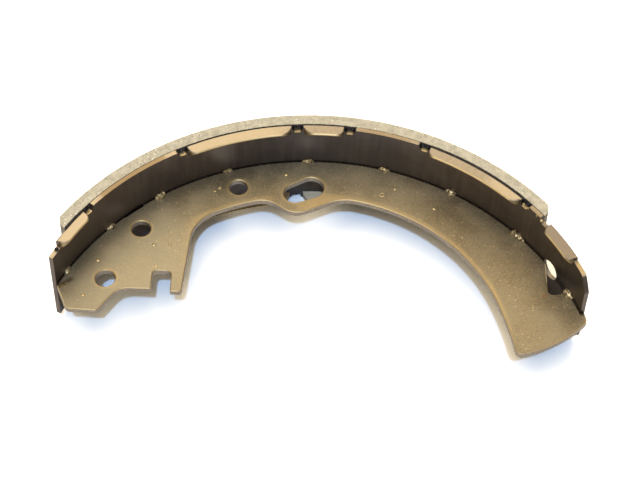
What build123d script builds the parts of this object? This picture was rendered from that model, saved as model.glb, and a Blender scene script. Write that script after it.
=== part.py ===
"""Brake shoe for a drum brake: a flat web welded into a curved table, with a bonded lining.

The origin is at the crown of the lining's face, where the lining meets the drum, on the web's
mid-plane. The drum's axis runs along Z, one drum radius behind it, at y = -drum_r. +Y points out
of the shoe at its crown and +X to its anchor end. The shoe lies on one edge of its table, as on a
bench. Sizes are in millimetres. Angles are in degrees about the drum's axis, from the crown,
positive towards the anchor end.
"""

import os
from math import cos, degrees, radians, sin, tan

from build123d import *

# ---- The shoe, from the drum inwards ----
drum_r = 130.0  # radius that the lining runs at
lining_t = 5.4
lining_w = 49.0
bond_t = 0.5  # adhesive between the lining and the table
table_t = 2.0
table_margin = 0.5  # how far the table stands past the lining, at each edge
web_t = 3.2

# ---- Lining ----
lining_start = -60.5  # its two ends, where they meet the adhesive
lining_end = 51.5
lining_lean = 1.4  # how far the ends lean in, along the drum
lining_nose = 2.5  # bevel of the outer corners
lining_nose_r = 1.5  # rounding of that bevel, on each side of it

# ---- Table: a strip bent round the web, notched along both edges ----
table_start = -66.9
table_end = 69.2
notch_angles = [-54.0, -29.9, -5.15, 5.8, 21.9, 46.8, 52.7]
notch_w = 5.3  # at the table's edge
notch_floor_w = 3.0
notch_depth = 3.0
notch_floor_r = 1.0
notch_lip_r = 0.8
adjuster_step = -63.9  # where the edge steps in, near the adjuster end
adjuster_drop = 4.6
anchor_step = 63.3  # where the edge steps in, near the anchor end
anchor_drop = 2.1
end_cut_w = 4.7  # sloped corner of the table at the anchor end
end_cut_h = 6.9
end_cut_r = 2.5
table_hole_angle = 56.8
table_hole_r = 4.9

# ---- Coined pads: stretches of the edge pressed wide, on which the shoe slides ----
pad_w = 5.6  # from the table's outer face to the pad's inner edge
pad_lip = 0.9  # upright part of that inner edge
pad_slope = 45.0  # of the underside, back to the wall
pad_corner_r = 3.5
pad_long_corner_r = 5.5  # where the coined metal ran out more gently
pad_edge = 0.4  # slope along the top of that inner edge
pad_bevel = 0.6  # where coining has rounded the outer edge, beside the lining
pad_wide_bevel = 1.1  # on the pads that were pressed hardest

# ---- Web: corners of its outline, as (depth below the table, angle) ----
heel_tip = (9.15, -71.5)
heel_root = (21.9, -69.45)
heel_notch = (23.95, -60.95)
slot_land = (39.55, -54.75)
prong_shoulder = (40.05, -55.25)
prong_tip = (47.35, -51.3)
band_start_angle = -32.95
band_end_angle = -13.3
band_depth = 20.0  # depth of the web's plain band, beside the prong
lobe_tip = (30.75, -6.85)
arch_start = (20.65, 5.3)
arch_crown = (23.5, 30.4)
arch_end = (29.85, 56.4)
anchor_root = (33.75, 76.8)
anchor_face = (17.3, 75.55)
anchor_tip = (-1.3, 71.6)
anchor_shoulder = 1.6  # how far the web stands up behind the table's end

# ---- Web: roundings of those corners ----
heel_tip_r = 2.5
heel_root_r = 1.8
heel_notch_r = 9.2
prong_r = 1.8
band_r = 19.0
lobe_flank_r = 11.4
lobe_r = 10.1
arch_r = 19.0
anchor_root_r = 2.5
anchor_tip_r = 3.0
web_edge = 0.4  # slope left by the blanking die, along the free edges

# ---- Web: openings, placed by (depth below the table, angle) ----
slot_mouth = (39.8, -55.0)
slot_w = 8.2
slot_length = 10.35
slot_r = 2.2
slot_lip_r = 0.8
end_hole = (16.6, -60.3)
end_hole_r = 4.36
middle_hole = (10.1, -44.45)
middle_hole_r = 4.3
crown_hole = (10.6, -19.2)
crown_hole_r = 4.18
pear_big = (15.3, -2.15)
pear_big_r = 5.8
pear_small = (18.3, -6.1)
pear_small_r = 5.2
pocket_corners = [(-1.9, 53.85), (8.6, 62.5), (5.5, 63.35), (-2.0, 63.6)]
pocket_r = 2.2
relief_start = -45.0  # shallow recess in the seated edge
relief_end = -40.2
relief_depth = 1.0

# ---- Weld spots and squeezed-out adhesive ----
weld_angles = [-63.1, -48.9, -36.0, -20.3, -2.9, 13.8, 29.0, 46.4, 64.9]
weld_r = 1.6
weld_length = 3.0  # along the table
bead_w = 3.6  # adhesive stands in each notch as a flattened bead
bead_h = 2.2
bead_out = 1.1  # how far it stands out from the table's outer face, towards the drum's axis
bead_lift = 1.8  # from the notch's floor to the bead's middle

# ---- Derived sizes ----
bond_r = drum_r - lining_t
table_r = bond_r - bond_t
seat_r = table_r - table_t  # inside of the table, where the web is seated
pad_r = table_r - pad_w
edge_z = lining_w / 2 + table_margin
notch_half = degrees(notch_w / 2 / table_r)
over = 1.0  # how far a cutting tool runs past what it cuts

# Each pad runs between two notches, or from a notch to the step at the table's end. Then come the
# radii of its corners there, and the bevel of its outer edge.
first, second, third, fourth, fifth, sixth, seventh = notch_angles
pad_spans = [
    (adjuster_step, first - notch_half, pad_corner_r, pad_corner_r, pad_wide_bevel),
    (second + notch_half, third - notch_half, pad_corner_r, pad_long_corner_r, pad_bevel),
    (third + notch_half, fourth - notch_half, pad_long_corner_r, pad_corner_r, pad_bevel),
    (fifth + notch_half, sixth - notch_half, pad_corner_r, pad_long_corner_r, pad_wide_bevel),
    (seventh + notch_half, anchor_step, pad_corner_r, pad_corner_r, pad_bevel),
]

drum_centre = Vector(0, -drum_r, 0)
drum_axis = Axis(drum_centre, (0, 0, 1))


def outwards(angle):
    """Unit vector away from the drum's axis."""
    return Vector(sin(radians(angle)), cos(radians(angle)), 0)


def polar(radius, angle, height=0.0):
    """Point at a radius from the drum's axis, an angle from the crown and a height."""
    return drum_centre + outwards(angle) * radius + Vector(0, 0, height)


def at(place):
    """Point given as a depth below the inside of the table, and an angle."""
    depth, angle = place
    return polar(seat_r - depth, angle)


def along(angle):
    """Unit vector along the table, towards its anchor end."""
    return Vector(cos(radians(angle)), -sin(radians(angle)), 0)


def wall_plane(radius, angle, height):
    """Plane facing the drum's axis, with x along the table and y up."""
    place = polar(radius, angle, height)
    return Plane(origin=place, x_dir=along(angle), z_dir=-outwards(angle))


def section_plane(angle):
    """Plane through the drum's axis, with x outwards and y up."""
    return Plane(origin=drum_centre, x_dir=outwards(angle), z_dir=along(angle))


def ring_face(inner_r, outer_r, start, end, slope=0.0, mode=Mode.ADD):
    """Draw the face between two radii and two angles, its ends sloping in by an angle."""
    middle = (start + end) / 2
    outer_start = polar(outer_r, start + slope)
    outer_end = polar(outer_r, end - slope)
    with BuildLine() as rim:
        ThreePointArc(outer_start, polar(outer_r, middle), outer_end)
        Line(outer_end, polar(inner_r, end))
        ThreePointArc(polar(inner_r, end), polar(inner_r, middle), polar(inner_r, start))
        Line(polar(inner_r, start), outer_start)
    make_face(rim.edges(), mode=mode)


def round_corners(sketch, corners):
    """Round the corners of a sketch that lie nearest to points given in its own plane."""
    for point, radius in corners:
        fillet(sketch.vertices().sort_by_distance(point)[0], radius)


def off_axis(edge):
    """Distance of an edge's middle from the drum's axis."""
    from_axis = edge @ 0.5 - drum_centre
    return Vector(from_axis.X, from_axis.Y).length


# ---- Web: a flat blanked plate, its outer edge seated inside the table ----
band_mid_r = seat_r - band_depth
band_start = polar(band_mid_r, band_start_angle)
band_middle = polar(band_mid_r, (band_start_angle + band_end_angle) / 2)
band_end = polar(band_mid_r, band_end_angle)
seat_start = polar(seat_r, table_start)
seat_middle = polar(seat_r, (table_start + table_end) / 2)
seat_end = polar(seat_r, table_end)
shoulder = polar(seat_r + anchor_shoulder, table_end)
slot_side = Vector(slot_w / 2, 0)

with BuildSketch() as pear_hole:
    with Locations(at(pear_big)):
        Circle(pear_big_r)
    with Locations(at(pear_small)):
        Circle(pear_small_r)
    make_hull()

with BuildSketch() as table_hole_pocket:
    with BuildLine():
        Polyline([at(corner) for corner in pocket_corners], close=True)
    make_face()
    round_corners(table_hole_pocket, [(at(corner), pocket_r) for corner in pocket_corners[1:3]])

with BuildSketch() as web_outline:
    with BuildLine():
        ThreePointArc(seat_start, seat_middle, seat_end)
        Polyline(seat_end, shoulder, at(anchor_tip))
        ThreePointArc(at(anchor_tip), at(anchor_face), at(anchor_root))
        arch = ThreePointArc(at(arch_start), at(arch_crown), at(arch_end))
        TangentArc(at(arch_end), at(anchor_root), tangent=arch % 1)
        Polyline(at(arch_start), at(lobe_tip), band_end)
        ThreePointArc(band_end, band_middle, band_start)
        Polyline(band_start, at(prong_tip), at(prong_shoulder), at(slot_land))
        Polyline(at(slot_land), at(heel_notch), at(heel_root), at(heel_tip), seat_start)
    make_face()
    round_corners(web_outline, [
        (at(heel_tip), heel_tip_r),
        (at(heel_root), heel_root_r),
        (at(heel_notch), heel_notch_r),
        (at(prong_tip), prong_r),
        (band_start, band_r),
        (band_end, lobe_flank_r),
        (at(lobe_tip), lobe_r),
        (at(arch_start), arch_r),
        (at(anchor_root), anchor_root_r),
        (at(anchor_tip), anchor_tip_r),
    ])
    with Locations(at(slot_mouth)):
        RectangleRounded(slot_w, 2 * slot_length, slot_r, mode=Mode.SUBTRACT)
    round_corners(web_outline, [
        (at(slot_mouth) - slot_side, slot_lip_r),
        (at(slot_mouth) + slot_side, slot_lip_r),
    ])
    with Locations(at(end_hole)):
        Circle(end_hole_r, mode=Mode.SUBTRACT)
    with Locations(at(middle_hole)):
        Circle(middle_hole_r, mode=Mode.SUBTRACT)
    with Locations(at(crown_hole)):
        Circle(crown_hole_r, mode=Mode.SUBTRACT)
    add(pear_hole.sketch, mode=Mode.SUBTRACT)
    add(table_hole_pocket.sketch, mode=Mode.SUBTRACT)
    ring_face(seat_r - relief_depth, seat_r + over, relief_start, relief_end, mode=Mode.SUBTRACT)

with BuildPart() as web:
    add(web_outline.sketch)
    extrude(amount=web_t / 2, both=True)
    for side in (web.faces().sort_by(Axis.Z)[-1], web.faces().sort_by(Axis.Z)[0]):
        free_edges = side.edges().filter_by(lambda edge: off_axis(edge) < seat_r - over)
        chamfer(free_edges, web_edge)

# ---- Table: pads and cuts are made for its upper edge and mirrored to the lower one ----
pad_foot_z = edge_z - pad_lip - (seat_r - pad_r) * tan(radians(pad_slope))

with BuildPart() as pads:
    with BuildSketch() as pad_plans:
        for start, end, start_corner_r, end_corner_r, bevel in pad_spans:
            ring_face(pad_r, table_r, start, end)
            round_corners(pad_plans, [
                (polar(pad_r, start), start_corner_r),
                (polar(pad_r, end), end_corner_r),
            ])
    extrude(amount=edge_z)
    for top in pads.faces().group_by(Axis.Z)[-1]:
        lip = top.edges().filter_by(GeomType.CIRCLE)
        chamfer(lip.filter_by(lambda edge: off_axis(edge) < seat_r), pad_edge)
    with BuildSketch(section_plane(table_end)):
        with BuildLine():
            Polyline([
                (pad_r - over, -over),
                (pad_r - over, edge_z - pad_lip + over * tan(radians(pad_slope))),
                (seat_r, pad_foot_z),
                (table_r + over, pad_foot_z),
                (table_r + over, -over),
            ], close=True)
        make_face()
    revolve(axis=drum_axis, revolution_arc=table_end - table_start, mode=Mode.SUBTRACT)
    mirror(about=Plane.XY)

adjuster_run = radians(adjuster_step - table_start) * table_r
anchor_run = radians(table_end - anchor_step) * table_r

with BuildPart() as edge_cuts:
    for angle in notch_angles:
        with BuildSketch(wall_plane(table_r, angle, edge_z)) as notch:
            with BuildLine():
                Polyline([
                    (-notch_w, over),
                    (-notch_w, 0),
                    (-notch_w / 2, 0),
                    (-notch_floor_w / 2, -notch_depth),
                    (notch_floor_w / 2, -notch_depth),
                    (notch_w / 2, 0),
                    (notch_w, 0),
                    (notch_w, over),
                ], close=True)
            make_face()
            round_corners(notch, [
                ((-notch_w / 2, 0), notch_lip_r),
                ((-notch_floor_w / 2, -notch_depth), notch_floor_r),
                ((notch_floor_w / 2, -notch_depth), notch_floor_r),
                ((notch_w / 2, 0), notch_lip_r),
            ])
        extrude(amount=pad_w + over, both=True)

    with BuildSketch(wall_plane(table_r, adjuster_step, edge_z)):
        with BuildLine():
            Polyline([
                (0, over),
                (0, -adjuster_drop),
                (-adjuster_run - over, -adjuster_drop),
                (-adjuster_run - over, over),
            ], close=True)
        make_face()
    extrude(amount=pad_w + over, both=True)

    with BuildSketch(wall_plane(table_r, table_end, edge_z)) as anchor_cut:
        with BuildLine():
            Polyline([
                (-anchor_run, over),
                (-anchor_run, -anchor_drop),
                (-end_cut_w, -anchor_drop),
                (0, -anchor_drop - end_cut_h),
                (over, -anchor_drop - end_cut_h),
                (over, over),
            ], close=True)
        make_face()
        round_corners(anchor_cut, [((-end_cut_w, -anchor_drop), end_cut_r)])
    extrude(amount=pad_w + over, both=True)

    for start, end, start_corner_r, end_corner_r, bevel in pad_spans:
        with BuildSketch(section_plane(end)):
            with BuildLine():
                Polyline([
                    (table_r - bevel - over, edge_z + over),
                    (table_r + over, edge_z - bevel - over),
                    (table_r + over, edge_z + over),
                ], close=True)
            make_face()
        revolve(axis=drum_axis, revolution_arc=end - start)
    mirror(about=Plane.XY)

with BuildPart() as table:
    with BuildSketch():
        ring_face(seat_r, table_r, table_start, table_end)
    extrude(amount=edge_z, both=True)
    add(pads.part)
    add(edge_cuts.part, mode=Mode.SUBTRACT)
    with BuildSketch(wall_plane(table_r, table_hole_angle, 0)):
        Circle(table_hole_r)
    extrude(amount=table_t + over, both=True, mode=Mode.SUBTRACT)

# ---- Lining: a block of friction material with bevelled ends ----
with BuildPart() as lining:
    with BuildSketch() as lining_plan:
        end_slope = degrees(lining_lean / drum_r)
        ring_face(bond_r, drum_r, lining_start, lining_end, slope=end_slope)
        noses = [
            polar(drum_r, lining_start + end_slope),
            polar(drum_r, lining_end - end_slope),
        ]
        for nose in noses:
            chamfer(lining_plan.vertices().sort_by_distance(nose)[0], lining_nose)
            fillet(lining_plan.vertices().sort_by_distance(nose)[0:2], lining_nose_r)
    extrude(amount=lining_w / 2, both=True)

# ---- Bond: the adhesive layer, with beads squeezed out into the notches that it covers ----
covered_notches = [angle for angle in notch_angles if angle < lining_end - notch_half]
bead_z = edge_z - notch_depth + bead_lift

with BuildPart() as beads:
    for angle in covered_notches:
        with BuildSketch(wall_plane(table_r, angle, bead_z)):
            SlotOverall(bead_w, bead_h)
        extrude(amount=bead_out)
    mirror(about=Plane.XY)

with BuildPart() as bond:
    with BuildSketch():
        ring_face(table_r, bond_r, lining_start, lining_end)
    extrude(amount=lining_w / 2, both=True)
    add(beads.part)

# ---- Weld spots: nuggets in the corner between the web and the table, on both sides ----
weld_arc = degrees(weld_length / seat_r)

with BuildPart() as weld_spots:
    for angle in weld_angles:
        with BuildSketch(section_plane(angle + weld_arc / 2)):
            with BuildLine():
                Polyline([
                    (seat_r - weld_r, web_t / 2),
                    (seat_r, web_t / 2),
                    (seat_r, web_t / 2 + weld_r),
                ])
                RadiusArc((seat_r, web_t / 2 + weld_r), (seat_r - weld_r, web_t / 2), -weld_r)
            make_face()
        revolve(axis=drum_axis, revolution_arc=weld_arc)
    mirror(about=Plane.XY)

# ---- One file for each piece ----
os.makedirs("parts", exist_ok=True)
web.part.label = "web"
export_step(web.part, "parts/web.step")
table.part.label = "table"
export_step(table.part, "parts/table.step")
lining.part.label = "lining"
export_step(lining.part, "parts/lining.step")
bond.part.label = "bond"
export_step(bond.part, "parts/bond.step")
weld_spots.part.label = "weld_spots"
export_step(weld_spots.part, "parts/weld_spots.step")
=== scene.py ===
"""Finish of a drum brake's shoe: gold-painted web and table, with a bonded friction lining.

Places are in metres in the part's own frame. The drum's axis runs along Z, one drum radius
behind the crown of the lining's face, which is the origin. Angles are in degrees about that
axis, from the crown, positive towards the anchor end.
"""

import random
from math import cos, pi, radians, sin

import bmesh
import bpy
from mathutils import Matrix, Vector, noise


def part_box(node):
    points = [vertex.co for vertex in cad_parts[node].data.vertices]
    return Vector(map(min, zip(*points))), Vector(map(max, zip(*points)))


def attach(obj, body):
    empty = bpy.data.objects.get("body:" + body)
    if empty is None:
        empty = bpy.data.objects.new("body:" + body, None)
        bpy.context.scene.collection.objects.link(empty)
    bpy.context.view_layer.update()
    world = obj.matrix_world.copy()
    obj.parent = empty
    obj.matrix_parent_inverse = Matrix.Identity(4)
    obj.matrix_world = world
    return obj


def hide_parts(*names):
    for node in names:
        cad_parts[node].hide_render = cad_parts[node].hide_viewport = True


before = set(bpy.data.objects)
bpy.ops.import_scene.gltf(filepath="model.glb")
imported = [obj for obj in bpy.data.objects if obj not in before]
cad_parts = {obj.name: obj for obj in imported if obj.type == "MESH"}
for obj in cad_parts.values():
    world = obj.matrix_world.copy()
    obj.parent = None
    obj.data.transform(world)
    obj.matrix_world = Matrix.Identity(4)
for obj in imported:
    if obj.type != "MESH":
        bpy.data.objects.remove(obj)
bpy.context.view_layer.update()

# ---- Sizes of the shoe ----
mm = 0.001
drum_r = 130 * mm
lining_t = 5.4 * mm
bond_t = 0.5 * mm
table_t = 2.0 * mm
bond_r = drum_r - lining_t
table_r = bond_r - bond_t
seat_r = table_r - table_t
drum_centre = Vector((0, -drum_r, 0))
lining_start = -60.5
lining_end = 51.5
web_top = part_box("web")[1].z
table_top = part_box("table")[1].z
lining_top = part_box("lining")[1].z
floor_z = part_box("table")[0].z
# the web's arch, and where the painted highlight on its rim and on the rim of the plate beside it starts
# and ends along X
arch_r = 84.1 * mm
arch_start = -14 * mm
arch_end = 110 * mm
band_start = -62 * mm
band_end = -18 * mm
covered_notches = [-54.0, -29.9, -5.15, 5.8, 21.9, 46.8]
# each pad beside the lining: where it starts and ends, and how broad the glue is on its outer edge
pad_spans = [
    (-63.9, -55.2, 0.95),
    (-28.7, -6.4, 0.55),
    (-3.9, 4.6, 0.55),
    (23.1, 45.6, 0.95),
]


def polar(radius, angle, height=0.0):
    """Point at a radius from the drum's axis, an angle from the crown and a height."""
    turn = radians(angle)
    return drum_centre + Vector((radius * sin(turn), radius * cos(turn), height))


def on_web(x, y):
    """Point on the web's upper face, from its distances in millimetres beside and above the drum's axis."""
    return drum_centre + Vector((x * mm, y * mm, web_top))


arch_centre = on_web(0.0, 17.8)


# ---- Building blocks for materials ----
def add_node(tree, kind, inputs=None, **settings):
    """Add a node, set its properties, and set or link its inputs by name or number."""
    node = tree.nodes.new(kind)
    for name, value in settings.items():
        setattr(node, name, value)
    for socket, value in (inputs or {}).items():
        if isinstance(value, bpy.types.NodeSocket):
            tree.links.new(value, node.inputs[socket])
        else:
            node.inputs[socket].default_value = value
    return node


def new_group(name, inputs, outputs):
    """Make an empty group of nodes, and give it with what comes in."""
    group = bpy.data.node_groups.new(name, "ShaderNodeTree")
    for socket, kind in inputs.items():
        group.interface.new_socket(socket, in_out="INPUT", socket_type="NodeSocket" + kind)
    for socket, kind in outputs.items():
        group.interface.new_socket(socket, in_out="OUTPUT", socket_type="NodeSocket" + kind)
    return group, add_node(group, "NodeGroupInput").outputs


def new_material(name):
    """Make an empty material, and give it with its tree and its Object coordinates."""
    material = bpy.data.materials.new(name)
    material.use_nodes = True
    tree = material.node_tree
    tree.nodes.clear()
    place = add_node(tree, "ShaderNodeTexCoord").outputs["Object"]
    return material, tree, place


def finish_material(tree, shader):
    """Send a shader to the material's output."""
    add_node(tree, "ShaderNodeOutputMaterial", {"Surface": shader.outputs["BSDF"]})


def mix_colours(tree, factor, first, second):
    """Blend two colours by a factor."""
    blend = add_node(tree, "ShaderNodeMix", data_type="RGBA", blend_type="MIX")
    for socket, value in ((0, factor), (6, first), (7, second)):
        if isinstance(value, bpy.types.NodeSocket):
            tree.links.new(value, blend.inputs[socket])
        elif socket == 0:
            blend.inputs[socket].default_value = value
        else:
            blend.inputs[socket].default_value = (*value, 1)
    return blend.outputs[2]


def span(tree, value, low, high, to_low=0.0, to_high=1.0):
    """Map a range of values smoothly onto another."""
    return add_node(tree, "ShaderNodeMapRange", {
        "Value": value,
        "From Min": low,
        "From Max": high,
        "To Min": to_low,
        "To Max": to_high,
    }, interpolation_type="SMOOTHSTEP").outputs["Result"]


def make_soft_spot():
    """Group: a round mask about a centre, one inside its radius and fading out past it."""
    group, given = new_group(
        "soft_spot",
        {"Place": "Vector", "Centre": "Vector", "Radius": "Float", "Blur": "Float"},
        {"Mask": "Float"},
    )
    apart = add_node(group, "ShaderNodeVectorMath", {
        0: given["Place"],
        1: given["Centre"],
    }, operation="DISTANCE").outputs["Value"]
    rim = add_node(group, "ShaderNodeMath", {
        0: given["Radius"],
        1: given["Blur"],
    }, operation="ADD").outputs["Value"]
    mask = add_node(group, "ShaderNodeMapRange", {
        "Value": apart,
        "From Min": given["Radius"],
        "From Max": rim,
        "To Min": 1.0,
        "To Max": 0.0,
    }, interpolation_type="SMOOTHSTEP").outputs["Result"]
    add_node(group, "NodeGroupOutput", {"Mask": mask})
    return group


def make_mottle():
    """Group: broad soft blotches and a fine grain, each from 0 to 1."""
    group, given = new_group(
        "mottle",
        {"Place": "Vector", "Broad": "Float", "Fine": "Float"},
        {"Blotch": "Float", "Grain": "Float"},
    )
    blotch = add_node(group, "ShaderNodeTexNoise", {
        "Vector": given["Place"],
        "Scale": given["Broad"],
        "Detail": 3.0,
        "Roughness": 0.55,
    }).outputs["Fac"]
    grain = add_node(group, "ShaderNodeTexNoise", {
        "Vector": given["Place"],
        "Scale": given["Fine"],
        "Detail": 4.0,
        "Roughness": 0.7,
    }).outputs["Fac"]
    add_node(group, "NodeGroupOutput", {
        "Blotch": span(group, blotch, 0.3, 0.7),
        "Grain": span(group, grain, 0.3, 0.7),
    })
    return group


def make_flecks():
    """Group: scattered round flecks, as a mask. Share is how many of the places hold one."""
    group, given = new_group(
        "flecks",
        {"Place": "Vector", "Scale": "Float", "Share": "Float", "Size": "Float"},
        {"Mask": "Float"},
    )
    cells = add_node(group, "ShaderNodeTexVoronoi", {
        "Vector": given["Place"],
        "Scale": given["Scale"],
    })
    pick = add_node(group, "ShaderNodeSeparateColor", {"Color": cells.outputs["Color"]})
    held = add_node(group, "ShaderNodeMath", {
        0: pick.outputs["Red"],
        1: given["Share"],
    }, operation="LESS_THAN").outputs["Value"]
    close = add_node(group, "ShaderNodeMapRange", {
        "Value": cells.outputs["Distance"],
        "From Min": 0.0,
        "From Max": given["Size"],
        "To Min": 1.0,
        "To Max": 0.0,
    }).outputs["Result"]
    mask = add_node(group, "ShaderNodeMath", {0: held, 1: close}, operation="MULTIPLY")
    add_node(group, "NodeGroupOutput", {"Mask": mask.outputs["Value"]})
    return group


def make_off_axis():
    """Group: the distance of a place from the drum's axis."""
    group, given = new_group("off_axis", {"Place": "Vector"}, {"Radius": "Float"})
    flat = add_node(group, "ShaderNodeVectorMath", {
        0: given["Place"],
        1: (1, 1, 0),
    }, operation="MULTIPLY").outputs["Vector"]
    radius = add_node(group, "ShaderNodeVectorMath", {
        0: flat,
        1: drum_centre,
    }, operation="DISTANCE").outputs["Value"]
    add_node(group, "NodeGroupOutput", {"Radius": radius})
    return group


soft_spot = make_soft_spot()
off_axis = make_off_axis()
mottle = make_mottle()
flecks = make_flecks()


def round_mask(tree, place, centre, radius, blur):
    """Mask of a soft round spot."""
    return add_node(tree, "ShaderNodeGroup", {
        "Place": place,
        "Centre": centre,
        "Radius": radius,
        "Blur": blur,
    }, node_tree=soft_spot).outputs["Mask"]


def add_spots(tree, place, colour, spots):
    """Tint a colour at soft round spots, each given as (centre, radius, blur, tint, strength)."""
    for centre, radius, blur, tint, strength in spots:
        mask = round_mask(tree, place, centre, radius * mm, blur * mm)
        colour = mix_colours(tree, product(tree, mask, strength), colour, tint)
    return colour


def product(tree, first, second):
    """Multiply two values."""
    return add_node(tree, "ShaderNodeMath", {0: first, 1: second}, operation="MULTIPLY").outputs["Value"]


def distance_up(tree, place):
    """Distance of a place from the web's mid-plane, or how far a direction leans up or down."""
    height = add_node(tree, "ShaderNodeSeparateXYZ", {"Vector": place}).outputs["Z"]
    return add_node(tree, "ShaderNodeMath", {0: height}, operation="ABSOLUTE").outputs["Value"]


def distance_out(tree, place):
    """Distance of a place from the drum's axis."""
    return add_node(tree, "ShaderNodeGroup", {"Place": place}, node_tree=off_axis).outputs["Radius"]


def fleck_mask(tree, place, scale, share, size):
    """Mask of scattered flecks."""
    return add_node(tree, "ShaderNodeGroup", {
        "Place": place,
        "Scale": scale,
        "Share": share,
        "Size": size,
    }, node_tree=flecks).outputs["Mask"]


# ---- Materials ----
def gold_shader(tree, colour, texture, roughness, metallic=0.9):
    """Finish a paint with its flake grain and relief."""
    relief = add_node(tree, "ShaderNodeBump", {
        "Height": texture.outputs["Grain"],
        "Strength": 0.25,
        "Distance": 0.05 * mm,
    })
    shader = add_node(tree, "ShaderNodeBsdfPrincipled", {
        "Base Color": colour,
        "Metallic": metallic,
        "Roughness": roughness,
        "Normal": relief.outputs["Normal"],
    })
    finish_material(tree, shader)


def add_texture(tree, place, broad, fine):
    """Lay broad blotches and a fine grain."""
    return add_node(tree, "ShaderNodeGroup", {
        "Place": place,
        "Broad": broad,
        "Fine": fine,
    }, node_tree=mottle)


def seam_shade_mask(tree, grain, radius, inner, outer):
    """Mask of painted shade in the seam between web and table, broken up by the grain."""
    near = span(tree, radius, inner, outer)
    broken = span(tree, grain, 0.0, 0.5, 0.55, 1.0)
    return product(tree, near, broken)


def paint_rim_highlight(tree, colour, mask, beside, start, end):
    """Paint a highlight along a free edge, where the rolled-over metal catches light, between two places
    along X.
    """
    fade_in = 12 * mm
    fade_out = 8 * mm
    mask = product(tree, mask, span(tree, beside, start, start + fade_in))
    mask = product(tree, mask, span(tree, beside, end - fade_out, end, 1.0, 0.0))
    return mix_colours(tree, mask, colour, rim_highlight_gold)


def web_paint(tones, marks_and_highlights):
    """Gold zinc paint on the web, greyer on its cut faces, with painted highlights along its rims and
    painted shade towards the table's wall and in the seam.
    """
    material, tree, place = new_material("web_gold")
    texture = add_texture(tree, place, 75.0, 1500.0)
    colour = mix_colours(tree, texture.outputs["Blotch"], (0.205, 0.178, 0.122), (0.285, 0.25, 0.175))
    colour = add_spots(tree, place, colour, tones)
    radius = distance_out(tree, place)
    # painted shade: the web's colour darkens towards the table's wall
    wall_shade = span(tree, radius, seat_r - 11.0 * mm, seat_r - 1.0 * mm, 0.0, 0.42)
    colour = mix_colours(tree, wall_shade, colour, (0.11, 0.095, 0.075))
    grain = span(tree, texture.outputs["Grain"], 0.0, 1.0, 0.0, 0.25)
    colour = mix_colours(tree, grain, colour, (0.57, 0.47, 0.30))
    specks = fleck_mask(tree, place, 800.0, 0.07, 0.4)
    colour = mix_colours(tree, product(tree, specks, 0.6), colour, (0.80, 0.64, 0.36))
    parts = add_node(tree, "ShaderNodeSeparateXYZ", {"Vector": place})
    # painted highlights along the arch's rim and along the rim of the plate beside it
    arch = round_mask(tree, place, arch_centre, arch_r, 2.6 * mm)
    arch = product(tree, arch, 0.55)
    colour = paint_rim_highlight(tree, colour, arch, parts.outputs["X"], arch_start, arch_end)
    band = span(tree, radius, seat_r - 19.6 * mm, seat_r - 17.2 * mm, 0.55, 0.0)
    colour = paint_rim_highlight(tree, colour, band, parts.outputs["X"], band_start, band_end)
    colour = add_spots(tree, place, colour, marks_and_highlights)
    up = distance_up(tree, place)
    cut = span(tree, up, web_top - 0.45 * mm, web_top - 0.35 * mm, 1.0, 0.0)
    cut_grey = mix_colours(tree, texture.outputs["Grain"], (0.20, 0.17, 0.14), (0.36, 0.315, 0.26))
    colour = mix_colours(tree, cut, colour, cut_grey)
    # painted highlight: bright gold on the chamfer along the web's rims
    rim_low = span(tree, up, web_top - 0.40 * mm, web_top - 0.30 * mm)
    rim_high = span(tree, up, web_top - 0.08 * mm, web_top - 0.01 * mm, 1.0, 0.0)
    colour = mix_colours(tree, product(tree, rim_low, rim_high), colour, (0.72, 0.54, 0.28))
    # painted shade in the seam where the web meets the wall
    seam = seam_shade_mask(tree, texture.outputs["Grain"], radius, seat_r - 0.9 * mm, seat_r - 0.4 * mm)
    seam = product(tree, seam, span(tree, parts.outputs["Y"], -89 * mm, -87 * mm))
    colour = mix_colours(tree, seam, colour, (0.02, 0.014, 0.010))
    rough = span(tree, texture.outputs["Blotch"], 0.0, 1.0, 0.45, 0.55)
    gold_shader(tree, colour, texture, rough)
    return material


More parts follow.
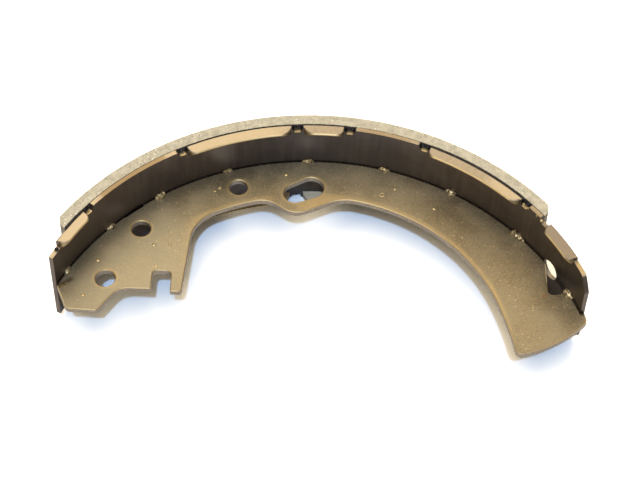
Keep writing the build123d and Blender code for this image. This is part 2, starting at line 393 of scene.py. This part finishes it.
def table_paint(wall_spots, edge_spots):
    """Gold zinc paint on the table: its wall a dark brown that is painted shade, with painted shade at its
    foot, its level faces pale from wear and from painted light, and painted highlights on the pads' lips.
    """
    material, tree, place = new_material("table_gold")
    texture = add_texture(tree, place, 90.0, 1500.0)
    streaks = add_node(tree, "ShaderNodeMapping", {"Vector": place, "Scale": (420.0, 420.0, 30.0)})
    runs = add_node(tree, "ShaderNodeTexNoise", {
        "Vector": streaks.outputs["Vector"],
        "Scale": 1.0,
        "Detail": 3.0,
    }).outputs["Fac"]
    # painted shade: the wall is given a far darker brown than the web's paint
    colour = mix_colours(tree, texture.outputs["Blotch"], (0.082, 0.065, 0.060), (0.112, 0.092, 0.082))
    colour = mix_colours(tree, span(tree, runs, 0.35, 0.75, 0.0, 0.45), colour, (0.155, 0.128, 0.108))
    colour = add_spots(tree, place, colour, wall_spots)
    up = distance_up(tree, place)
    # painted shade: a near-black band on the wall beside the web's faces, broken up by the grain
    corner = span(tree, up, web_top + 0.3 * mm, web_top + 0.9 * mm, 1.0, 0.0)
    dark = product(tree, corner, span(tree, texture.outputs["Grain"], 0.0, 0.5, 0.5, 1.0))
    radius = distance_out(tree, place)
    inside = span(tree, radius, seat_r + 0.05 * mm, seat_r + 0.3 * mm, 1.0, 0.0)
    colour = mix_colours(tree, product(tree, dark, inside), colour, (0.02, 0.014, 0.010))
    # painted light: the pads' slopes and sides inside the wall are lighter than the wall
    flank = span(tree, radius, seat_r - 0.3 * mm, seat_r - 0.1 * mm, 1.0, 0.0)
    colour = mix_colours(tree, flank, colour, (0.36, 0.27, 0.15))
    # level faces are paler, partly wear and partly painted light; spots vary them
    facing = add_node(tree, "ShaderNodeNewGeometry").outputs["Normal"]
    lean = distance_up(tree, facing)
    level = span(tree, lean, 0.55, 0.85)
    wear_and_light = mix_colours(tree, texture.outputs["Grain"], (0.33, 0.285, 0.215), (0.45, 0.395, 0.31))
    wear_and_light = add_spots(tree, place, wear_and_light, edge_spots)
    colour = mix_colours(tree, level, colour, wear_and_light)
    # painted highlight along the pads' inner lips
    lip = span(tree, radius, table_r - 5.35 * mm, table_r - 5.0 * mm, 1.0, 0.0)
    high = span(tree, up, table_top - 0.5 * mm, table_top - 0.35 * mm)
    colour = mix_colours(tree, product(tree, lip, high), colour, (0.85, 0.66, 0.34))
    rough = span(tree, level, 0.0, 1.0, 0.36, 0.52)
    gold_shader(tree, colour, texture, rough)
    return material


def weld_paint():
    """Paint over the weld nuggets: noise blotches of dark painted shade and gold painted light, with pale
    painted glints.
    """
    material, tree, place = new_material("weld_gold")
    texture = add_texture(tree, place, 700.0, 2500.0)
    colour = mix_colours(tree, texture.outputs["Blotch"], (0.09, 0.065, 0.04), (0.78, 0.62, 0.34))
    glints = fleck_mask(tree, place, 1500.0, 0.2, 0.7)
    colour = mix_colours(tree, glints, colour, (0.80, 0.70, 0.48))
    gold_shader(tree, colour, texture, 0.5, 0.8)
    return material


def nib_paint():
    """Brighter gold on the nibs, drops and blister, a painted highlight, blotched by noise."""
    material, tree, place = new_material("nib_gold")
    texture = add_texture(tree, place, 900.0, 2500.0)
    colour = mix_colours(tree, texture.outputs["Blotch"], (0.40, 0.30, 0.15), (0.75, 0.60, 0.32))
    gold_shader(tree, colour, texture, 0.5, 0.8)
    return material


def friction_material():
    """Friction compound: pale and mottled on its cut sides, darker and ground round the drum."""
    material, tree, place = new_material("friction_compound")
    texture = add_texture(tree, place, 330.0, 1300.0)
    side = mix_colours(tree, texture.outputs["Blotch"], (0.36, 0.32, 0.235), (0.53, 0.49, 0.37))
    grain = span(tree, texture.outputs["Grain"], 0.0, 1.0, 0.0, 0.35)
    side = mix_colours(tree, grain, side, (0.68, 0.65, 0.54))
    for share, size, tint in ((0.08, 0.5, (0.19, 0.16, 0.12)), (0.07, 0.55, (0.85, 0.82, 0.72))):
        chips = fleck_mask(tree, place, 1000.0 * (1 - share), share, size)
        side = mix_colours(tree, chips, side, tint)
    strokes = add_node(tree, "ShaderNodeMapping", {"Vector": place, "Scale": (12.0, 12.0, 1600.0)})
    ground = add_node(tree, "ShaderNodeTexNoise", {
        "Vector": strokes.outputs["Vector"],
        "Scale": 1.0,
        "Detail": 4.0,
    }).outputs["Fac"]
    lines = span(tree, ground, 0.35, 0.65)
    face = mix_colours(tree, lines, (0.17, 0.145, 0.115), (0.30, 0.26, 0.20))
    face = mix_colours(tree, grain, face, (0.45, 0.40, 0.31))
    on_side = span(tree, distance_up(tree, place), lining_top - 0.25 * mm, lining_top - 0.05 * mm)
    colour = mix_colours(tree, on_side, face, side)
    relief = add_node(tree, "ShaderNodeBump", {
        "Height": texture.outputs["Grain"],
        "Strength": 0.5,
        "Distance": 0.12 * mm,
    })
    shader = add_node(tree, "ShaderNodeBsdfPrincipled", {
        "Base Color": colour,
        "Roughness": 0.85,
        "Specular IOR Level": 0.25,
        "Normal": relief.outputs["Normal"],
    })
    finish_material(tree, shader)
    return material


def adhesive_material():
    """Cured black adhesive, glossy and uneven."""
    material, tree, place = new_material("black_adhesive")
    texture = add_texture(tree, place, 500.0, 2500.0)
    colour = mix_colours(tree, texture.outputs["Blotch"], (0.006, 0.006, 0.009), (0.022, 0.018, 0.017))
    rough = span(tree, texture.outputs["Grain"], 0.0, 1.0, 0.18, 0.42)
    relief = add_node(tree, "ShaderNodeBump", {
        "Height": texture.outputs["Blotch"],
        "Strength": 0.6,
        "Distance": 0.2 * mm,
    })
    shader = add_node(tree, "ShaderNodeBsdfPrincipled", {
        "Base Color": colour,
        "Roughness": rough,
        "Specular IOR Level": 0.22,
        "Normal": relief.outputs["Normal"],
    })
    finish_material(tree, shader)
    return material


def floor_material():
    """White paper with a faint tooth, paler still to the camera."""
    material, tree, place = new_material("white_paper")
    texture = add_texture(tree, place, 9.0, 700.0)
    colour = mix_colours(tree, texture.outputs["Grain"], (0.94, 0.94, 0.94), (0.96, 0.96, 0.96))
    shader = add_node(tree, "ShaderNodeBsdfPrincipled", {
        "Base Color": colour,
        "Roughness": 0.9,
        "Specular IOR Level": 0.1,
    })
    seen = add_node(tree, "ShaderNodeLightPath").outputs["Is Camera Ray"]
    extra = mix_colours(tree, seen, (0, 0, 0), (0.5, 0.5, 0.5))
    paler = add_node(tree, "ShaderNodeBsdfDiffuse", {"Color": extra})
    both = add_node(tree, "ShaderNodeAddShader", {
        0: shader.outputs["BSDF"],
        1: paler.outputs["BSDF"],
    })
    add_node(tree, "ShaderNodeOutputMaterial", {"Surface": both.outputs["Shader"]})
    return material


# ---- Building blocks for shapes ----
def add_piece(name, shape, material, smooth=True):
    """Turn a shape into an object with one material, and add it to the scene."""
    bmesh.ops.recalc_face_normals(shape, faces=shape.faces)
    for face in shape.faces:
        face.smooth = smooth
    mesh = bpy.data.meshes.new(name)
    shape.to_mesh(mesh)
    shape.free()
    piece = bpy.data.objects.new(name, mesh)
    piece.data.materials.append(material)
    bpy.context.scene.collection.objects.link(piece)
    return piece


def add_lump(shape, place, turn, sizes, roughness, seed, fineness=3):
    """Add a rounded lump: half-sizes along the table, outwards and up, roughened by noise."""
    ball = bmesh.ops.create_icosphere(shape, subdivisions=fineness, radius=1.0)
    stretch = Matrix.Diagonal((*sizes, 1))
    spin = Matrix.Rotation(-radians(turn), 4, "Z")
    for vert in ball["verts"]:
        swell = 1 + roughness * noise.noise(1.7 * vert.co + Vector((seed, 2 * seed, 0)))
        swell += 0.4 * roughness * noise.noise(4.3 * vert.co + Vector((0, seed, 3 * seed)))
        vert.co = place + spin @ (stretch @ (swell * vert.co))


# ---- Weld nuggets, in the corner between the web and the table ----
def add_welds(material):
    """Build a rough nugget of one or more lobes at each weld, on both faces of the web."""
    # angle, then each lobe as (along, outwards, up, half-size), from the corner
    nuggets = [
        (-63.1, [(0.0, -0.6, 0.4, 1.5), (1.3, -0.3, 0.9, 1.1)]),
        (-48.9, [(0.2, -0.6, 0.5, 1.5), (-1.4, -0.4, 0.6, 1.2), (1.3, -0.5, 0.2, 1.0)]),
        (-36.0, [(0.0, -0.7, 0.6, 1.9), (1.5, -0.5, 0.5, 1.3), (-1.4, -0.8, 0.2, 1.2)]),
        (-20.3, [(-1.2, -0.3, 0.3, 1.1), (1.1, -0.3, 0.3, 1.3)]),
        (-2.9, [(0.0, -0.4, 0.4, 1.4), (1.5, -0.3, 0.3, 1.1), (-1.4, -0.3, 0.2, 1.0)]),
        (13.8, [(0.0, -0.5, 0.4, 1.5), (-1.4, -0.3, 0.3, 1.2), (1.3, -0.3, 0.3, 1.0)]),
        (29.0, [(0.0, -0.6, 0.5, 1.6), (1.5, -0.5, 0.4, 1.3), (-1.6, -0.3, 0.5, 1.1)]),
        (46.4, [(0.0, -0.8, 0.6, 1.6), (2.0, -0.7, 0.5, 1.4), (-1.8, -0.8, 0.4, 1.4)]),
        (48.1, [(0.0, -0.5, 0.3, 1.0)]),
        (64.4, [(0.0, -0.9, 0.6, 1.8), (-1.6, -1.0, 0.5, 1.5), (1.7, -0.5, 0.4, 1.1)]),
    ]
    shape = bmesh.new()
    seed = 0
    for side in (1, -1):
        for angle, lobes in nuggets:
            corner = polar(seat_r, angle, side * web_top)
            axes = Matrix.Rotation(-radians(angle), 3, "Z")
            for along, out, up, size in lobes:
                seed += 1
                place = corner + axes @ Vector((along, out, side * up)) * mm
                sizes = Vector((size, 0.85 * size, 0.8 * size)) * mm
                add_lump(shape, place, angle, sizes, 0.55, seed)
    return add_piece("weld_nuggets", shape, material)


# ---- Adhesive: the layer under the lining, and what was squeezed out of it ----
def glue_spread(angle):
    """How far the glue spreads onto the table at an angle, in millimetres."""
    return max(
        reach * max(0.0, min(1.0, 0.5 + 2 * min(angle - start, end - angle)))
        for start, end, reach in pad_spans
    )


def sweep(shape, angles, section):
    """Join sections, given as (radius, height) in a function of the angle, into a closed strip."""
    rings = []
    for angle in angles:
        rings.append([shape.verts.new(polar(r, angle, z)) for r, z in section(angle)])
    count = len(rings[0])
    for first, second in zip(rings, rings[1:]):
        for corner in range(count):
            following = (corner + 1) % count
            shape.faces.new((first[corner], first[following], second[following], second[corner]))
    shape.faces.new(rings[0])
    shape.faces.new(list(reversed(rings[-1])))


def squeezed_section(angle, side):
    """Outline of the glue squeezed out along one edge, broader where a pad's edge falls away."""
    spread = glue_spread(angle)
    wave = noise.noise(Vector((angle * 0.9, 7 * side, 0)))
    ripple = noise.noise(Vector((angle * 3.1, 3 * side, 5)))
    inner = table_r - (0.15 + spread + 0.12 * wave + 0.07 * ripple) * mm
    outer = bond_r + (0.14 + 0.15 * spread + 0.12 * wave - 0.10 * ripple) * mm
    top = lining_top + (0.26 + 0.08 * spread + 0.05 * ripple) * mm
    middle = (inner + outer) / 2
    return [
        (outer, side * (lining_top - 0.05 * mm)),
        (outer - 0.05 * mm, side * (lining_top + 0.08 * mm)),
        (middle + 0.12 * mm, side * top),
        (middle - 0.10 * mm, side * (top + 0.03 * mm)),
        (inner + 0.05 * mm, side * (top - 0.02 * mm)),
        (inner, side * (top - 0.15 * mm)),
        (inner + 0.10 * mm, side * (lining_top - 0.35 * mm)),
        (bond_r - 0.10 * mm, side * (lining_top - 0.50 * mm)),
    ]


def add_adhesive(material):
    """Build the layer, the line of glue along both edges, and the lumps in the notches."""
    shape = bmesh.new()
    layer_steps = 284
    line_steps = 640
    line_gap = 0.2  # degrees, from the lining's ends to those of the squeezed-out line
    lump_height = 23.55
    turn = lining_end - lining_start
    angles = [lining_start + turn * step / layer_steps for step in range(layer_steps + 1)]
    layer = [
        (table_r, -lining_top),
        (bond_r, -lining_top),
        (bond_r, lining_top),
        (table_r, lining_top),
    ]
    sweep(shape, angles, lambda angle: layer)
    line_start = lining_start + line_gap
    line_turn = turn - 2 * line_gap
    fine = [line_start + line_turn * step / line_steps for step in range(line_steps + 1)]
    sweep(shape, fine, lambda angle: squeezed_section(angle, 1))
    sweep(shape, fine, lambda angle: squeezed_section(angle, -1))
    rng = random.Random(11)
    for side in (1, -1):
        for angle in covered_notches:
            axes = Matrix.Rotation(-radians(angle), 3, "Z")
            for along in (-1.35, -0.15, 1.05):
                lobe = Vector((along + rng.uniform(0, 0.35), -0.2 + rng.uniform(-0.12, 0.12), 0)) * mm
                up = side * (lump_height + rng.uniform(-0.15, 0.15)) * mm
                across = rng.uniform(0.72, 0.9)
                outwards = rng.uniform(0.7, 0.85)
                sizes = Vector((across, outwards, rng.uniform(0.95, 1.15))) * mm
                place = polar(table_r, angle, up) + axes @ lobe
                add_lump(shape, place, angle, sizes, 0.25, rng.uniform(0, 90))
    return add_piece("adhesive", shape, material)


def add_glue_drop(material):
    """Leave a small drop of adhesive at the step of the table near the adjuster end."""
    shape = bmesh.new()
    angle = -64.7
    place = polar(seat_r + 0.9 * mm, angle, table_top - 4.1 * mm)
    add_lump(shape, place, angle, Vector((0.9, 0.9, 0.8)) * mm, 0.3, 4.0)
    return add_piece("glue_drop", shape, material)


# ---- Nibs in the paint ----
def add_nibs(material):
    """Raise small nibs under the paint of the web's upper face, and one burst blister."""
    # beside and above the drum's axis, half-width and height
    nibs = [
        (-95.7, 61.8, 0.8, 0.30),
        (-100.3, 42.9, 0.7, 0.25),
        (-72.0, 71.1, 0.7, 0.25),
        (-70.2, 59.8, 0.6, 0.22),
        (-65.0, 71.5, 0.6, 0.22),
        (-45.0, 104.4, 0.8, 0.30),
        (-47.1, 102.6, 0.6, 0.22),
        (-15.6, 113.4, 0.7, 0.28),
        (33.8, 107.6, 0.7, 0.28),
        (51.4, 97.0, 0.7, 0.25),
    ]
    nib_scale = 1.25
    shape = bmesh.new()
    for number, (x, y, size, height) in enumerate(nibs):
        sizes = nib_scale * Vector((size, size, height)) * mm
        add_lump(shape, on_web(x, y), 0.0, sizes, 0.3, 5.0 * number, 2)
    # drops of thicker paint along the table's upper edge, from the crown: angle, radius, half-width
    drops = [
        (46.6, 122.2, 0.7),
        (47.9, 122.1, 0.5),
        (50.4, 122.2, 0.6),
        (51.9, 122.1, 0.8),
        (52.6, 122.4, 0.6),
        (-54.0, 122.3, 0.5),
    ]
    for number, (angle, reach, size) in enumerate(drops):
        place = polar(reach * mm, angle, table_top - 1.1 * mm)
        add_lump(shape, place, angle, Vector((size, 0.7 * size, 0.9 * size)) * mm, 0.4, 3.0 * number, 2)
    blister = on_web(28.0, 103.9)
    rim_steps = 24
    rim_corners = 8
    rim = []
    for step in range(rim_steps):
        turn = 2 * pi * step / rim_steps
        out = Vector((cos(turn), sin(turn), 0))
        ring = []
        for point in range(rim_corners):
            round_it = 2 * pi * point / rim_corners
            across = (1.0 + 0.28 * cos(round_it)) * mm
            lift = Vector((0, 0, 0.22 * mm * sin(round_it)))
            ring.append(shape.verts.new(blister + out * across + lift))
        rim.append(ring)
    for first, second in zip(rim, rim[1:] + rim[:1]):
        for point in range(rim_corners):
            after = (point + 1) % rim_corners
            shape.faces.new((first[point], first[after], second[after], second[point]))
    return add_piece("paint_nibs", shape, material)


# ---- Floor, light and camera ----
def add_floor():
    """Lay a wide white sheet under the shoe."""
    shape = bmesh.new()
    bmesh.ops.create_grid(shape, x_segments=1, y_segments=1, size=15.0)
    bmesh.ops.translate(shape, vec=(0, 0, floor_z), verts=shape.verts)
    floor = add_piece("floor", shape, floor_material(), smooth=False)


def add_sun(name, colour, energy, spread, elevation, bearing):
    """Hang a distant light at an elevation and a bearing from +Y, positive towards +X."""
    lamp = bpy.data.lights.new(name, "SUN")
    lamp.color = colour
    lamp.energy = energy
    lamp.angle = radians(spread)
    sun = bpy.data.objects.new(name, lamp)
    rise = radians(elevation)
    aside = radians(bearing)
    towards = Vector((cos(rise) * sin(aside), cos(rise) * cos(aside), sin(rise)))
    sun.rotation_euler = towards.to_track_quat("Z", "Y").to_euler()
    bpy.context.scene.collection.objects.link(sun)


def add_room():
    """Fill in with a dim warm room, pale only along its horizon."""
    world = bpy.data.worlds.new("dim_room")
    world.use_nodes = True
    tree = world.node_tree
    tree.nodes.clear()
    way = add_node(tree, "ShaderNodeTexCoord").outputs["Generated"]
    parts = add_node(tree, "ShaderNodeSeparateXYZ", {"Vector": way})
    glow = span(tree, parts.outputs["Y"], -0.6, 0.8, 0.07, 0.24)
    horizon = span(tree, parts.outputs["Z"], 0.08, 0.28, 1.0, 0.0)
    colour = mix_colours(tree, horizon, (1.0, 0.83, 0.62), (1.0, 1.0, 1.0))
    strength = add_node(tree, "ShaderNodeMix", {
        "Factor": horizon,
        "A": glow,
        "B": 0.95,
    }, data_type="FLOAT").outputs["Result"]
    sky = add_node(tree, "ShaderNodeBackground", {"Color": colour, "Strength": strength})
    add_node(tree, "ShaderNodeOutputWorld", {"Surface": sky.outputs["Background"]})
    bpy.context.scene.world = world


def add_camera():
    """Look down on the shoe from the side of its open curve."""
    depression = radians(53.0937)
    yaw = radians(0.12184)
    roll = radians(2.22785)
    forward = Vector((sin(yaw) * cos(depression), cos(yaw) * cos(depression), -sin(depression)))
    level = Vector((cos(yaw), -sin(yaw), 0))
    upright = level.cross(forward)
    right = cos(roll) * level + sin(roll) * upright
    up = -sin(roll) * level + cos(roll) * upright
    turn = Matrix((right, up, -forward)).transposed()
    data = bpy.data.cameras.new("camera")
    data.lens = 107.85
    data.sensor_width = 36.0
    data.clip_start = 0.05
    data.clip_end = 50.0
    camera = bpy.data.objects.new("camera", data)
    place = drum_centre + Vector((-0.228, -431.22, 678.685)) * mm
    camera.matrix_world = Matrix.Translation(place) @ turn.to_4x4()
    bpy.context.scene.collection.objects.link(camera)
    bpy.context.scene.camera = camera


# ---- Putting it together ----
# colours; several stand in for painted light or shade, as noted where they are used
rust = (0.36, 0.15, 0.05)
rim_highlight_gold = (0.52, 0.40, 0.21)
painted_light_straw = (0.37, 0.355, 0.28)
brown = (0.06, 0.035, 0.015)
painted_highlight_amber = (0.42, 0.29, 0.10)
haze = (0.22, 0.20, 0.17)
umber = (0.20, 0.15, 0.12)
painted_shade_grey = (0.045, 0.043, 0.052)
gold = (0.30, 0.21, 0.10)
notch_painted_light = (0.95, 0.74, 0.40)
pale = (0.62, 0.53, 0.38)
tan = (0.235, 0.20, 0.17)
painted_shade_dull = (0.15, 0.115, 0.07)
# painted light on the web's left and painted shade on its right; the spot at (65, 80) is also a brown
# blotch in the paint
web_light_and_shade = [
    (on_web(-92.0, 64.0), 20.0, 40.0, painted_light_straw, 0.55),
    (on_web(65.0, 80.0), 6.0, 26.0, painted_shade_dull, 0.35),
    (on_web(95.0, 62.0), 6.0, 20.0, painted_shade_dull, 0.25),
]
web_marks_and_highlights = [(on_web(98.8, 51.4), 0.3, 0.7, rust, 0.9)]
stain_steps = 14
for step in range(stain_steps):
    web_marks_and_highlights.append((on_web(-112.6 + 0.5 * step, 45.9 + 0.42 * step), 0.5, 1.1, brown, 0.32))
# painted highlights beside the stain
web_marks_and_highlights.append((on_web(-110.0, 47.4), 0.3, 0.9, painted_highlight_amber, 0.6))
web_marks_and_highlights.append((on_web(-108.2, 48.9), 0.2, 0.8, painted_highlight_amber, 0.5))
# beside and above the drum's axis, and radius: the web's round holes and both ends of its pear hole
web_holes = [
    (-91.6, 52.3, 4.4),
    (-78.4, 80.0, 4.3),
    (-36.7, 105.3, 4.2),
    (-4.0, 106.7, 5.8),
    (-11.0, 103.2, 5.2),
]
# a painted highlight round each hole's rim
for x, y, size in web_holes:
    web_marks_and_highlights.append((on_web(x, y), size + 0.3, 1.7, rim_highlight_gold, 0.5))
# two lighter patches on the wall, painted light on its left (umber) and painted shade at its centre
wall_tones_and_shade = [
    (polar(seat_r, -21.3, 17.0 * mm), 1.0, 8.0, haze, 0.5),
    (polar(seat_r, -2.9, 15.5 * mm), 0.5, 7.0, haze, 0.4),
    (polar(seat_r, -54.0, 8.0 * mm), 12.0, 24.0, umber, 0.5),
    (polar(seat_r, 2.0, 6.0 * mm), 24.0, 34.0, painted_shade_grey, 0.45),
]
web_gold = web_paint(web_light_and_shade, web_marks_and_highlights)
# paler and darker patches on the level faces, partly painted light
edge_tones_and_light = [
    (polar(table_r, -58.5, table_top), 12.0, 14.0, pale, 0.6),
    (polar(table_r, -22.0, table_top), 20.0, 22.0, pale, 0.6),
    (polar(table_r, -42.0, table_top), 16.0, 3.0, gold, 0.7),
    (polar(table_r, 13.0, table_top), 8.0, 6.0, gold, 0.4),
    (polar(table_r, 42.0, table_top), 5.0, 9.0, pale, 0.55),
    (polar(table_r, 49.5, table_top), 3.0, 3.0, gold, 0.35),
    (polar(table_r, 58.0, table_top), 10.0, 6.0, tan, 0.65),
    (polar(table_r, 67.0, table_top), 6.0, 4.0, rim_highlight_gold, 0.6),
]
# painted light on the floor of each covered notch, which lies in shade
for angle in covered_notches:
    edge_tones_and_light.append((polar(seat_r + 0.4 * mm, angle, table_top - 3 * mm), 1.6, 0.8, notch_painted_light, 0.9))
table_gold = table_paint(wall_tones_and_shade, edge_tones_and_light)
weld_gold = weld_paint()
nib_gold = nib_paint()
compound = friction_material()
glue = adhesive_material()

for node, material in (("web", web_gold), ("table", table_gold), ("lining", compound)):
    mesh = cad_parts[node].data
    mesh.materials.clear()
    mesh.materials.append(material)

welds = add_welds(weld_gold)
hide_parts("weld_spots")
adhesive = add_adhesive(glue)
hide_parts("bond")
drop = add_glue_drop(glue)
nibs = add_nibs(nib_gold)
for piece in (welds, adhesive, drop, nibs):
    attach(piece, "root")

add_floor()
add_sun("key", (0.38, 0.62, 1.0), 1.4, 2.0, 59.5, 180.0)
add_sun("ceiling", (1.0, 0.86, 0.62), 2.4, 50.0, 75.0, -148.0)
add_sun("window", (1.0, 0.81, 0.57), 1.25, 55.0, 54.0, -8.0)
add_room()
add_camera()
bpy.context.scene.view_settings.view_transform = "Standard"
